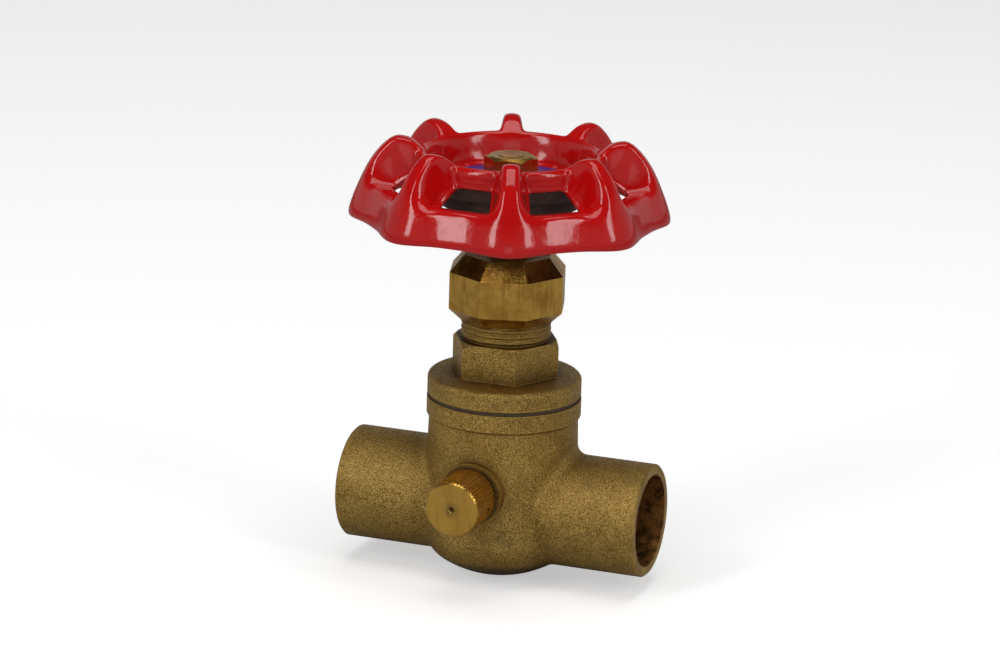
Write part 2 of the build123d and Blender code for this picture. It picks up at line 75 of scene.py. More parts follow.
# ---- values a user may change -------------------------------------------------------------
class StudioValues(bpy.types.PropertyGroup):
    azimuth: FloatProperty(
        name="Azimuth", description="Camera's turn round the valve", default=radians(19.75),
        subtype="ANGLE")
    elevation: FloatProperty(
        name="Elevation", description="Camera's height above the horizon",
        default=radians(15.83), subtype="ANGLE")
    roll: FloatProperty(
        name="Roll", description="Camera's tilt about its own axis", default=radians(1.68),
        subtype="ANGLE")
    distance: FloatProperty(
        name="Distance", description="Camera to target", default=0.709, unit="LENGTH")
    focal: FloatProperty(
        name="Focal length", description="Lens in millimetres", default=148.92)
    target_x: FloatProperty(
        name="Target across", description="Aim along the pipe", default=-0.00108,
        unit="LENGTH")
    target_z: FloatProperty(
        name="Target height", description="Aim above the floor", default=0.04232,
        unit="LENGTH")
    floor_size: FloatProperty(
        name="Floor size", description="Side of the floor", default=8.0, unit="LENGTH")
    floor_color: FloatVectorProperty(
        name="Floor colour", description="Pale floor", default=(0.93, 0.93, 0.93),
        subtype="COLOR")
    floor_bounce: FloatProperty(
        name="Floor bounce", description="Share of the floor's colour that lights the valve",
        default=0.55)
    floor_lift: FloatProperty(
        name="Floor lift", description="Glow that keeps the floor pale", default=0.5)
    side_light: FloatProperty(
        name="Side softboxes", description="Brightness of the two side softboxes",
        default=6.2)
    top_light: FloatProperty(
        name="Overhead softbox", description="Brightness of the overhead softbox",
        default=2.4)
    front_light: FloatProperty(
        name="Front fill", description="Brightness of the low front fill", default=0.5)
    horizon: FloatProperty(
        name="Backdrop", description="Brightness of the backdrop round the table",
        default=0.38)
    room: FloatProperty(
        name="Room", description="Strength of the room's own light", default=0.06)


class CastValues(bpy.types.PropertyGroup):
    light: FloatVectorProperty(
        name="Bright cast", description="Colour of clean cast bronze",
        default=(0.60, 0.385, 0.10), subtype="COLOR")
    olive: FloatVectorProperty(
        name="Olive cast", description="Colour of the darker stains",
        default=(0.40, 0.245, 0.06), subtype="COLOR")
    # This colour also serves as the painted shade in hollows.
    dark: FloatVectorProperty(
        name="Dark cast", description="Colour of the pits and hollows",
        default=(0.12, 0.066, 0.02), subtype="COLOR")
    soot: FloatVectorProperty(
        name="Soot", description="Colour of the grey blots left by handling",
        default=(0.14, 0.11, 0.065), subtype="COLOR")
    bore: FloatVectorProperty(
        name="Bore", description="Colour of the tarnished bores",
        default=(0.62, 0.32, 0.09), subtype="COLOR")
    grain: FloatProperty(
        name="Grain", description="Size of the sand grain", default=0.00023,
        unit="LENGTH")
    stain: FloatProperty(name="Stain", description="Strength of the stains", default=0.75)
    pits: FloatProperty(name="Pits", description="Darkness between the grains", default=0.7)
    # Painted highlight: a brighter colour on the tops of the grains stands in for the glints of the
    # softboxes.
    painted_glint_color: FloatVectorProperty(
        name="Painted grain glints", description="Colour of the painted glints on the grain tops",
        default=(0.98, 0.67, 0.22), subtype="COLOR")
    painted_glints: FloatProperty(
        name="Glints", description="Strength of the painted glints on the grain tops", default=0.55)
    # Ambient occlusion darkens the hollows: painted shade together with dirt.
    shade_and_dirt: FloatProperty(name="Painted shade and dirt", description="Dirt in the hollows", default=1.0)
    blots: FloatProperty(name="Blots", description="Strength of the sooty blots", default=0.7)


class BrassValues(bpy.types.PropertyGroup):
    light: FloatVectorProperty(
        name="Clean brass", description="Colour of turned brass",
        default=(0.76, 0.45, 0.09), subtype="COLOR")
    dark: FloatVectorProperty(
        name="Tarnished brass", description="Colour of tarnish",
        default=(0.40, 0.19, 0.03), subtype="COLOR")
    # Used in hollows found by ambient occlusion: painted shade together with grime.
    grime_and_shade: FloatVectorProperty(
        name="Grime and painted shade", description="Colour of the dirt in hollows",
        default=(0.12, 0.055, 0.015), subtype="COLOR")
    smudge: FloatVectorProperty(
        name="Smudge", description="Colour of the spot on the drain cap",
        default=(0.13, 0.11, 0.06), subtype="COLOR")


class WheelValues(bpy.types.PropertyGroup):
    enamel: FloatVectorProperty(
        name="Enamel", description="Colour of the gloss enamel",
        default=(0.62, 0.004, 0.004), subtype="COLOR")
    # Thick, pooled enamel is real; the same colour is also the painted shade in hollows.
    deep: FloatVectorProperty(
        name="Deep enamel", description="Colour of thick enamel and of the painted shade in hollows",
        default=(0.36, 0.002, 0.002), subtype="COLOR")
    bare: FloatVectorProperty(
        name="Bare casting", description="Colour of the unpainted casting",
        default=(0.10, 0.045, 0.03), subtype="COLOR")
    bare_dark: FloatVectorProperty(
        name="Dark casting", description="Colour of its pits",
        default=(0.03, 0.014, 0.01), subtype="COLOR")
    wall: FloatProperty(
        name="Wall", description="Thickness of the casting", default=0.0015,
        unit="LENGTH")
    lobes: IntProperty(name="Lobes", description="Finger lobes round the rim", default=8)
    turn: FloatProperty(
        name="Turn", description="Angle of the first lobe", default=radians(19.75),
        subtype="ANGLE")
    smoothing: IntProperty(
        name="Smoothing", description="Subdivision levels", default=2)


# ---- node helpers -------------------------------------------------------------------------
def link(tree, source, target):
    tree.links.new(source, target)


def add_node(tree, kind, place, **values):
    node = tree.nodes.new(kind)
    node.location = place
    for name, value in values.items():
        setattr(node, name, value)
    return node


def new_group(name, inputs, outputs):
    """Empty shader node group with float, vector or colour sockets."""
    tree = bpy.data.node_groups.new(name, "ShaderNodeTree")
    for label, kind, default in inputs:
        socket = tree.interface.new_socket(label, in_out="INPUT", socket_type=kind)
        socket.default_value = default
    for label, kind in outputs:
        tree.interface.new_socket(label, in_out="OUTPUT", socket_type=kind)
    entry = add_node(tree, "NodeGroupInput", (-900, 0))
    leave = add_node(tree, "NodeGroupOutput", (900, 0))
    return tree, entry, leave


def noise(tree, place, vector, scale, detail=4.0, roughness=0.55):
    node = add_node(tree, "ShaderNodeTexNoise", place)
    node.inputs["Detail"].default_value = detail
    node.inputs["Roughness"].default_value = roughness
    link(tree, vector, node.inputs["Vector"])
    if isinstance(scale, float):
        node.inputs["Scale"].default_value = scale
    else:
        link(tree, scale, node.inputs["Scale"])
    return node.outputs["Fac"]


def map_range(tree, place, value, low, high, to_low=0.0, to_high=1.0):
    node = add_node(tree, "ShaderNodeMapRange", place)
    node.clamp = True
    node.interpolation_type = "SMOOTHSTEP"
    link(tree, value, node.inputs["Value"])
    node.inputs["From Min"].default_value = low
    node.inputs["From Max"].default_value = high
    node.inputs["To Min"].default_value = to_low
    node.inputs["To Max"].default_value = to_high
    return node.outputs["Result"]


def calculate(tree, place, operation, first, second):
    node = add_node(tree, "ShaderNodeMath", place, operation=operation)
    for socket, value in zip(node.inputs, (first, second)):
        if isinstance(value, (int, float)):
            socket.default_value = value
        else:
            link(tree, value, socket)
    return node.outputs["Value"]


def mix_color(tree, place, factor, first, second, blend="MIX"):
    node = add_node(tree, "ShaderNodeMix", place, data_type="RGBA", blend_type=blend)
    sockets = (node.inputs[0], node.inputs[6], node.inputs[7])
    for socket, value in zip(sockets, (factor, first, second)):
        if isinstance(value, bpy.types.NodeSocket):
            link(tree, value, socket)
        elif isinstance(value, (int, float)):
            socket.default_value = value
        else:
            socket.default_value = (*value, 1.0)
    return node.outputs[2]


# ---- shared effects -----------------------------------------------------------------------
def edge_wear_group():
    """Mask that is 1 on edges and fades over a width."""
    tree, entry, leave = new_group(
        "Edge Wear", [("Width", "NodeSocketFloat", 0.0004)], [("Edge", "NodeSocketFloat")])
    bevel = add_node(tree, "ShaderNodeBevel", (-600, 0), samples=6)
    link(tree, entry.outputs["Width"], bevel.inputs["Radius"])
    face = add_node(tree, "ShaderNodeNewGeometry", (-600, -200))
    dot = add_node(tree, "ShaderNodeVectorMath", (-300, 0), operation="DOT_PRODUCT")
    link(tree, bevel.outputs["Normal"], dot.inputs[0])
    link(tree, face.outputs["Normal"], dot.inputs[1])
    edge = map_range(tree, (0, 0), dot.outputs["Value"], 0.99, 0.80)
    link(tree, edge, leave.inputs["Edge"])
    return tree


def crevice_group():
    """Ambient occlusion mask that is 1 in hollows and corners; the finishes darken with it as
    painted shade.
    """
    tree, entry, leave = new_group(
        "Crevice", [("Reach", "NodeSocketFloat", 0.003)], [("Hollow", "NodeSocketFloat")])
    shade = add_node(tree, "ShaderNodeAmbientOcclusion", (-400, 0), samples=6)
    link(tree, entry.outputs["Reach"], shade.inputs["Distance"])
    hollow = map_range(tree, (0, 0), shade.outputs["AO"], 0.97, 0.40)
    link(tree, hollow, leave.inputs["Hollow"])
    return tree


def grain_group():
    """Sand-cast skin: fine grain height, speckle and broad stain."""
    tree, entry, leave = new_group(
        "Sand Grain",
        [("Scale", "NodeSocketFloat", 4000.0)],
        [("Height", "NodeSocketFloat"), ("Speckle", "NodeSocketFloat"),
         ("Stain", "NodeSocketFloat"), ("Blot", "NodeSocketFloat")])
    place = add_node(tree, "ShaderNodeTexCoord", (-900, -200)).outputs["Object"]
    scale = entry.outputs["Scale"]
    fine = noise(tree, (-500, 300), place, scale, 4.0, 0.7)
    coarse = noise(tree, (-500, 100), place, calculate(tree, (-700, 100), "MULTIPLY", scale, 0.35),
                   2.0, 0.5)
    height = calculate(tree, (-100, 200), "ADD", calculate(tree, (-300, 300), "MULTIPLY", fine, 0.6),
                  calculate(tree, (-300, 100), "MULTIPLY", coarse, 0.5))
    link(tree, height, leave.inputs["Height"])
    link(tree, map_range(tree, (100, 0), fine, 0.36, 0.68), leave.inputs["Speckle"])
    broad = noise(tree, (-500, -300), place, 160.0, 5.0, 0.6)
    link(tree, map_range(tree, (100, -300), broad, 0.35, 0.68), leave.inputs["Stain"])
    patch = noise(tree, (-500, -500), place, 95.0, 6.0, 0.68)
    link(tree, map_range(tree, (100, -500), patch, 0.58, 0.72), leave.inputs["Blot"])
    return tree


def tarnish_group():
    """Turned brass: broad tarnish clouds, small spots and fine scratches."""
    tree, entry, leave = new_group(
        "Tarnish",
        [("Scale", "NodeSocketFloat", 200.0)],
        [("Cloud", "NodeSocketFloat"), ("Spots", "NodeSocketFloat"),
         ("Scratches", "NodeSocketFloat"), ("Streaks", "NodeSocketFloat")])
    place = add_node(tree, "ShaderNodeTexCoord", (-900, -200)).outputs["Object"]
    cloud = noise(tree, (-500, 300), place, entry.outputs["Scale"], 5.0, 0.62)
    link(tree, map_range(tree, (0, 300), cloud, 0.38, 0.66), leave.inputs["Cloud"])
    spots = noise(tree, (-500, 100), place, 1800.0, 3.0, 0.6)
    link(tree, map_range(tree, (0, 100), spots, 0.60, 0.72), leave.inputs["Spots"])
    stretch = add_node(tree, "ShaderNodeMapping", (-700, -200))
    stretch.inputs["Scale"].default_value = (1.0, 1.0, 0.06)
    link(tree, place, stretch.inputs["Vector"])
    lines = noise(tree, (-500, -100), stretch.outputs["Vector"], 5000.0, 3.0, 0.6)
    link(tree, map_range(tree, (0, -100), lines, 0.35, 0.7), leave.inputs["Scratches"])
    drawn = add_node(tree, "ShaderNodeMapping", (-700, -400))
    drawn.inputs["Scale"].default_value = (1.0, 1.0, 0.12)
    link(tree, place, drawn.inputs["Vector"])
    bands = noise(tree, (-500, -400), drawn.outputs["Vector"], 700.0, 4.0, 0.6)
    link(tree, map_range(tree, (0, -400), bands, 0.48, 0.68), leave.inputs["Streaks"])
    return tree


def shared(name, maker):
    return bpy.data.node_groups.get(name) or maker()


def use_group(tree, place, name, maker, **values):
    node = add_node(tree, "ShaderNodeGroup", place)
    node.node_tree = shared(name, maker)
    for label, value in values.items():
        node.inputs[label].default_value = value
    return node


def new_material(name, metallic, roughness):
    material = bpy.data.materials.new(name)
    material.use_nodes = True
    tree = material.node_tree
    shader = tree.nodes["Principled BSDF"]
    shader.inputs["Metallic"].default_value = metallic
    shader.inputs["Roughness"].default_value = roughness
    return material, tree, shader


def add_bump(tree, place, height, strength, distance):
    bump = add_node(tree, "ShaderNodeBump", place)
    bump.inputs["Strength"].default_value = strength
    bump.inputs["Distance"].default_value = distance
    link(tree, height, bump.inputs["Height"])
    return bump.outputs["Normal"]


# ---- finishes -----------------------------------------------------------------------------
def object_axes(tree, place):
    """Object coordinates split into their three numbers."""
    x, y = place
    source = add_node(tree, "ShaderNodeTexCoord", (x - 200, y))
    split = add_node(tree, "ShaderNodeSeparateXYZ", place)
    link(tree, source.outputs["Object"], split.inputs["Vector"])
    return split.outputs["X"], split.outputs["Y"], split.outputs["Z"]


def distance_from(tree, place, first, first_centre, second, second_centre):
    """Distance from an axis that runs across two coordinates."""
    x, y = place
    squares = []
    for row, (value, centre) in enumerate(((first, first_centre), (second, second_centre))):
        offset = calculate(tree, (x, y - 150 * row), "SUBTRACT", value, centre)
        squares.append(calculate(tree, (x + 150, y - 150 * row), "POWER", offset, 2.0))
    total = calculate(tree, (x + 300, y), "ADD", squares[0], squares[1])
    return calculate(tree, (x + 450, y), "SQRT", total, 0.0)


def cup_mask(tree):
    """Mask of the turned surfaces of the body: the cups' end faces and bores."""
    along, across, height = object_axes(tree, (-1900, -700))
    reach = calculate(tree, (-1700, -700), "ABSOLUTE", along, 0.0)
    face = calculate(tree, (-1500, -700), "GREATER_THAN", reach, BODY_END - SKIN)
    off_axis = distance_from(tree, (-1700, -900), across, 0.0, height, CUP["pos_m"][2])
    radius = CUP["dims"]["r_mm"] * MM
    inside = calculate(tree, (-1050, -900), "LESS_THAN", off_axis, radius + SKIN)
    stop = CUP["pos_m"][0] - CUP["dims"]["length_mm"] * MM
    deep = calculate(tree, (-1500, -550), "GREATER_THAN", reach, stop)
    bore = calculate(tree, (-900, -800), "MULTIPLY", inside, deep)
    return calculate(tree, (-750, -700), "MAXIMUM", face, bore), bore


def cast_bronze(values, name="cast_bronze_skin", turned_cups=False):
    material, tree, shader = new_material(name, 1.0, 0.5)
    grain = use_group(tree, (-1100, 200), "Sand Grain", grain_group, Scale=1.0 / values.grain)
    wear = use_group(tree, (-1100, -100), "Edge Wear", edge_wear_group, Width=0.5 * MM)
    hollow = use_group(tree, (-1100, -300), "Crevice", crevice_group, Reach=5.0 * MM)
    stain = calculate(tree, (-900, 400), "MULTIPLY", grain.outputs["Stain"], values.stain)
    base = mix_color(tree, (-700, 400), stain, values.light, values.olive)
    pits = map_range(tree, (-900, 250), grain.outputs["Speckle"], 0.0, 0.5, values.pits, 0.0)
    base = mix_color(tree, (-500, 400), pits, base, values.dark)
    # Painted highlight: the tops of the grains get a brighter colour, as glints.
    painted_glint = map_range(tree, (-900, 550), grain.outputs["Speckle"], 0.55, 0.9, 0.0, values.painted_glints)
    base = mix_color(tree, (-450, 550), painted_glint, base, values.painted_glint_color)
    blot = calculate(tree, (-900, -400), "MULTIPLY", grain.outputs["Blot"], values.blots)
    base = mix_color(tree, (-400, 400), blot, base, values.soot)
    # Painted shade with dirt: darker where ambient occlusion finds a hollow.
    shade = calculate(tree, (-900, -300), "MULTIPLY", hollow.outputs["Hollow"], values.shade_and_dirt)
    base = mix_color(tree, (-300, 300), shade, base, values.dark)
    rub = calculate(tree, (-900, -100), "MULTIPLY", wear.outputs["Edge"], 0.8)
    color = mix_color(tree, (-100, 300), rub, base, values.light)
    gloss = map_range(tree, (-300, 0), grain.outputs["Speckle"], 0.0, 1.0, 0.58, 0.27)
    height = grain.outputs["Height"]
    if turned_cups:
        turned, bore = cup_mask(tree)
        streak = use_group(tree, (-1100, -500), "Tarnish", tarnish_group, Scale=420.0)
        face_color = mix_color(tree, (-500, -500), streak.outputs["Cloud"], values.light,
                               values.olive)
        bore_color = mix_color(tree, (-500, -650), streak.outputs["Cloud"], values.bore,
                               values.dark)
        turned_color = mix_color(tree, (-300, -500), bore, face_color, bore_color)
        color = mix_color(tree, (100, 300), turned, color, turned_color)
        smooth = calculate(tree, (-500, -800), "SUBTRACT", 1.0, turned)
        height = calculate(tree, (-300, -700), "MULTIPLY", height, smooth)
    link(tree, color, shader.inputs["Base Color"])
    link(tree, gloss, shader.inputs["Roughness"])
    normal = add_bump(tree, (-100, -300), height, 1.0, 0.26 * MM)
    link(tree, normal, shader.inputs["Normal"])
    return material


def turned_brass(values, name="turned_brass", dullness=0.5, shade_and_dirt=0.9, smudge=False):
    material, tree, shader = new_material(name, 1.0, 0.3)
    stain = use_group(tree, (-1100, 200), "Tarnish", tarnish_group, Scale=230.0)
    wear = use_group(tree, (-1100, -100), "Edge Wear", edge_wear_group, Width=0.3 * MM)
    hollow = use_group(tree, (-1100, -300), "Crevice", crevice_group, Reach=5.0 * MM)
    cloud = calculate(tree, (-900, 300), "MULTIPLY", stain.outputs["Cloud"], dullness)
    base = mix_color(tree, (-700, 300), cloud, values.light, values.dark)
    spots = calculate(tree, (-900, 100), "MULTIPLY", stain.outputs["Spots"], 0.6)
    base = mix_color(tree, (-500, 300), spots, base, values.dark)
    drawn = calculate(tree, (-900, 0), "MULTIPLY", stain.outputs["Streaks"], dullness)
    base = mix_color(tree, (-400, 300), drawn, base, values.dark)
    # Painted shade with grime: darker where ambient occlusion finds a hollow.
    shade = calculate(tree, (-900, -300), "MULTIPLY", hollow.outputs["Hollow"], shade_and_dirt)
    base = mix_color(tree, (-300, 200), shade, base, values.grime_and_shade)
    if smudge:
        across, out, height = object_axes(tree, (-1500, -600))
        middle = (CAP_LOW + CAP_HIGH) / 2
        off_axis = distance_from(tree, (-1300, -600), across, middle.x, height, middle.z)
        near = map_range(tree, (-700, -600), off_axis, *SMUDGE_RADII)
        face = calculate(tree, (-700, -750), "LESS_THAN", out, CAP_LOW.y + SMUDGE_DEPTH)
        blot = calculate(tree, (-500, -600), "MULTIPLY", near, face)
        patchy = map_range(tree, (-700, -900), stain.outputs["Scratches"], 0.0, 1.0, 0.35, 0.8)
        blot = calculate(tree, (-400, -600), "MULTIPLY", blot, patchy)
        base = mix_color(tree, (-200, 300), blot, base, values.smudge)
    edge = calculate(tree, (-900, -100), "MULTIPLY", wear.outputs["Edge"], 0.85)
    color = mix_color(tree, (-50, 200), edge, base, values.light)
    link(tree, color, shader.inputs["Base Color"])
    clean = map_range(tree, (-500, 0), stain.outputs["Cloud"], 0.0, 1.0, 0.19, 0.34)
    gloss = calculate(tree, (-300, 0), "ADD", clean, calculate(
        tree, (-500, -150), "MULTIPLY", hollow.outputs["Hollow"], 0.3))
    link(tree, gloss, shader.inputs["Roughness"])
    normal = add_bump(tree, (-100, -300), stain.outputs["Scratches"], 0.25, 0.04 * MM)
    link(tree, normal, shader.inputs["Normal"])
    return material


def gloss_enamel(values):
    material, tree, shader = new_material("gloss_enamel", 0.0, 0.12)
    place = add_node(tree, "ShaderNodeTexCoord", (-1100, 0)).outputs["Object"]
    sag = noise(tree, (-900, 100), place, 320.0, 2.0, 0.5)
    specks = noise(tree, (-900, -100), place, 2200.0, 2.0, 0.5)
    hollow = use_group(tree, (-900, -300), "Crevice", crevice_group, Reach=4.0 * MM)
    pooled = map_range(tree, (-750, 100), sag, 0.45, 0.75, 0.0, 0.18)
    tone = mix_color(tree, (-600, 200), pooled, values.enamel, values.deep)
    # Painted shade: deeper red in hollows found by ambient occlusion.
    shade = calculate(tree, (-600, -300), "MULTIPLY", hollow.outputs["Hollow"], 0.5)
    tone = mix_color(tree, (-400, 200), shade, tone, values.deep)
    grit = calculate(tree, (-600, -50), "GREATER_THAN", specks, 0.74)
    tone = mix_color(tree, (-200, 200), grit, tone, values.deep)
    link(tree, tone, shader.inputs["Base Color"])
    shader.inputs["Specular IOR Level"].default_value = 0.3
    shader.inputs["Coat Weight"].default_value = 0.4
    shader.inputs["Coat Roughness"].default_value = 0.04
    gloss = map_range(tree, (-300, 0), specks, 0.4, 0.7, 0.10, 0.18)
    link(tree, gloss, shader.inputs["Roughness"])
    ripple = calculate(tree, (-700, -100), "MULTIPLY", specks, 0.10)
    height = calculate(tree, (-500, -100), "ADD", sag, ripple)
    normal = add_bump(tree, (-100, -300), height, 0.35, 0.3 * MM)
    link(tree, normal, shader.inputs["Normal"])
    return material


def bare_casting(values):
    """Rough unpainted casting under the wheel."""
    material, tree, shader = new_material("bare_wheel_casting", 0.0, 0.75)
    grain = use_group(tree, (-900, 200), "Sand Grain", grain_group, Scale=3200.0)
    tone = mix_color(tree, (-500, 200), grain.outputs["Speckle"], values.bare_dark, values.bare)
    link(tree, tone, shader.inputs["Base Color"])
    normal = add_bump(tree, (-300, -200), grain.outputs["Height"], 0.6, 0.15 * MM)
    link(tree, normal, shader.inputs["Normal"])
    return material


def plain_finish(name, color, metallic, roughness, grain_scale, strength):
    """Simple grained finish for rubber, fibre and yarn."""
    material, tree, shader = new_material(name, metallic, roughness)
    place = add_node(tree, "ShaderNodeTexCoord", (-900, 0)).outputs["Object"]
    grain = noise(tree, (-700, 0), place, grain_scale, 3.0, 0.6)
    darker = tuple(0.6 * part for part in color)
    link(tree, mix_color(tree, (-400, 200), grain, darker, color), shader.inputs["Base Color"])
    normal = add_bump(tree, (-300, -200), grain, strength, 0.05 * MM)
    link(tree, normal, shader.inputs["Normal"])
    return material


def paint(material, *names):
    for name in names:
        node = frame["nodes"][name]
        node.data.materials.clear()
        node.data.materials.append(material)


# ---- edit-mode helpers --------------------------------------------------------------------
def deselect_all():
    bpy.ops.object.select_all(action="DESELECT")


def make_active(piece):
    deselect_all()
    piece.select_set(True)
    bpy.context.view_layer.objects.active = piece


def add_modifier(piece, kind, **values):
    modifier = piece.modifiers.new(kind.title(), kind)
    for name, value in values.items():
        setattr(modifier, name, value)
    return modifier


def apply_modifier(piece, kind, **values):
    make_active(piece)
    modifier = add_modifier(piece, kind, **values)
    bpy.ops.object.modifier_apply(modifier=modifier.name)


# ---- handwheel ----------------------------------------------------------------------------
# Stations run from the rim over a lobe's ridge, or over the lip between two lobes, to the
# well: ridge radius and height above the rim, lip radius and height, then the half widths of
# the ridge and of the lobe's foot, all in millimetres. Shares are parts of half a sector.
STATIONS = (
    (27.3, -0.8, 25.2, -0.5, 1.5, 5.8),
    (27.6, 0.1, 25.4, 0.3, 1.5, 5.8),
    (26.6, 3.1, 24.5, 2.9, 1.5, 5.0),
    (25.6, 5.5, 23.9, 4.8, 1.5, 4.3),
    (24.7, 7.6, 23.5, 5.35, 1.4, 3.6),
    (23.7, 9.4, 22.9, 5.5, 1.4, 3.1),
    (22.4, 11.2, 21.6, 5.3, 1.4, 2.9),
    (20.9, 12.6, 20.2, 5.1, 1.4, 2.7),
    (20.4, 12.9, 19.4, 5.6, 1.4, 2.7),
    (19.8, 13.2, 17.0, 7.2, 1.4, 2.7),
    (19.2, 13.35, 16.2, 7.7, 1.4, 2.6),
    (17.4, 13.1, 16.0, 8.5, 1.4, 2.5),
    (16.1, 12.3, 15.95, 10.3, 1.4, 2.6),
    (15.2, 11.5, 15.5, 11.1, 1.4, 2.5),
    (14.5, 11.0, 14.5, 11.1, 1.4, 2.3),
    (14.0, 9.6, 14.0, 9.8, 1.4, 2.3),
    (13.4, 6.3, 13.4, 6.3, 1.4, 2.2),
    (12.4, 5.75, 12.4, 5.75, 1.4, 2.1),
    (3.0, 5.75, 3.0, 5.75, 0.2, 0.4),
)
BOSS_BEVEL = 0.3 * MM
# Radius and height above the boss's tip, in millimetres.
BOSS_RINGS = (
    (4.6, 0.0), (5.8, 3.0), (5.8, 5.2), (12.3, 6.2), (12.5, 9.6), (3.0, 9.61),
)
FIRST_POCKET_STATION = 4
RING_STATION = 13
WINDOW_STATIONS = range(7, 11)
WINDOW_COLUMN = 4
RIDGE_ROUND = (0.15, 0.2)
FOOT_RISE = 0.3
WALL_BREAK = 0.16
CORNER_SHARES = (0.14, 0.34, 1.0)
SWELL_SHARES = (0.0, 0.14, 0.28, 0.42, 0.56, 0.75, 1.0)
COLUMNS = len(SWELL_SHARES)
SWELL_SHARPNESS = 1.5


def skirt_points(number, half_sector):
    """Points of a station below the lip, on the smooth swell of the rim."""
    ridge_r, ridge_z, lip_r, lip_z = STATIONS[number][:4]
    points = []
    for share in SWELL_SHARES:
        angle = share * half_sector
        swell = ((1 + cos(pi * share)) / 2) ** SWELL_SHARPNESS
        radius = lip_r + (ridge_r - lip_r) * swell
        points.append(Vector((radius * cos(angle), radius * sin(angle),
                              lip_z + (ridge_z - lip_z) * swell)))
    return points


def pocket_points(number, half_sector):
    """Points of a station over a lobe's ridge, down its wall and along the pocket."""
    ridge_r, ridge_z, lip_r, lip_z, ridge_w, foot_w = STATIONS[number]
    middle = Vector((ridge_r, 0.0, ridge_z))
    edge = Vector((ridge_r - RIDGE_ROUND[0], ridge_w, ridge_z - RIDGE_ROUND[1]))
    foot = Vector((sqrt(lip_r**2 - foot_w**2), foot_w, lip_z))
    if number < RING_STATION:
        foot.z += FOOT_RISE
    foot_angle = foot_w / lip_r
    points = [middle, edge, edge.lerp(foot, WALL_BREAK), foot]
    for share in CORNER_SHARES:
        angle = foot_angle + share * (half_sector - foot_angle)
        points.append(Vector((lip_r * cos(angle), lip_r * sin(angle), lip_z)))
    return points


def pull_grid(piece, half_sector):
    """Moves each crossing of a flat grid to its place on half a lobe."""
    rows = len(STATIONS)
    bpy.ops.object.mode_set(mode="EDIT")
    mesh = bmesh.from_edit_mesh(piece.data)
    crossings = {}
    for vertex in mesh.verts:
        row = round((vertex.co.x + 0.5) * (rows - 1))
        column = round((vertex.co.y + 0.5) * (COLUMNS - 1))
        crossings[row, column] = vertex
    bpy.ops.mesh.select_mode(type="VERT")
    bpy.ops.mesh.select_all(action="DESELECT")
    for row in range(rows):
        maker = skirt_points if row < FIRST_POCKET_STATION else pocket_points
        for column, point in enumerate(maker(row, half_sector)):
            vertex = crossings[row, column]
            vertex.select = True
            move = point * MM + Vector((0, 0, RIM_Z)) - vertex.co
            bpy.ops.transform.translate(value=move)
            vertex.select = False
    return mesh, {crossings[row, column] for row in WINDOW_STATIONS
                  for column in range(WINDOW_COLUMN, COLUMNS)}


def open_window(mesh, corners):
    """Deletes the faces between the shelf and the ring in the middle of the pocket."""
    bpy.ops.mesh.select_mode(type="FACE")
    bpy.ops.mesh.select_all(action="DESELECT")
    for face in mesh.faces:
        face.select = all(vertex in corners for vertex in face.verts)
    bpy.ops.mesh.delete(type="FACE")


class VALVE_OT_handwheel(bpy.types.Operator):
    """Models the lobed handwheel as one hollow enamelled casting"""
    bl_idname = "valve.handwheel"
    bl_label = "Handwheel"

    def execute(self, context):
        values = context.scene.valve_wheel
        half_sector = pi / values.lobes
        deselect_all()
        bpy.ops.mesh.primitive_grid_add(
            x_subdivisions=len(STATIONS) - 1, y_subdivisions=COLUMNS - 1, size=1.0)
        wheel = context.active_object
        wheel.name = "enamelled_handwheel"
        mesh, corners = pull_grid(wheel, half_sector)
        open_window(mesh, corners)
        bpy.ops.object.mode_set(mode="OBJECT")
        apply_modifier(wheel, "MIRROR", use_axis=(False, True, False), merge_threshold=1e-5)
        self.repeat_lobes(values)
        wheel.data.materials.append(gloss_enamel(values))
        wheel.data.materials.append(bare_casting(values))
        apply_modifier(wheel, "SOLIDIFY", thickness=values.wall, offset=-1.0, material_offset=1,
                       edge_crease_outer=0.35)
        apply_modifier(wheel, "SUBSURF", levels=values.smoothing, render_levels=values.smoothing)
        make_active(wheel)
        bpy.ops.object.shade_smooth_by_angle(angle=radians(40))
        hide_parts("handwheel")
        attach(wheel, STEM_BODY)
        return {"FINISHED"}

    def repeat_lobes(self, values):
        """Turns the first lobe to its place and spins copies of it round the stem."""
        bpy.ops.object.mode_set(mode="EDIT")
        bpy.ops.mesh.select_all(action="SELECT")
        bpy.ops.transform.rotate(
            value=-values.turn, orient_axis="Z", center_override=(0, 0, 0))
        bpy.ops.mesh.spin(
            steps=values.lobes, dupli=True, angle=2 * pi, center=(0, 0, 0), axis=(0, 0, 1))
        bpy.ops.mesh.select_all(action="SELECT")
        bpy.ops.mesh.remove_doubles(threshold=2e-5)
        bpy.ops.mesh.normals_make_consistent(inside=False)
        bpy.ops.object.mode_set(mode="OBJECT")


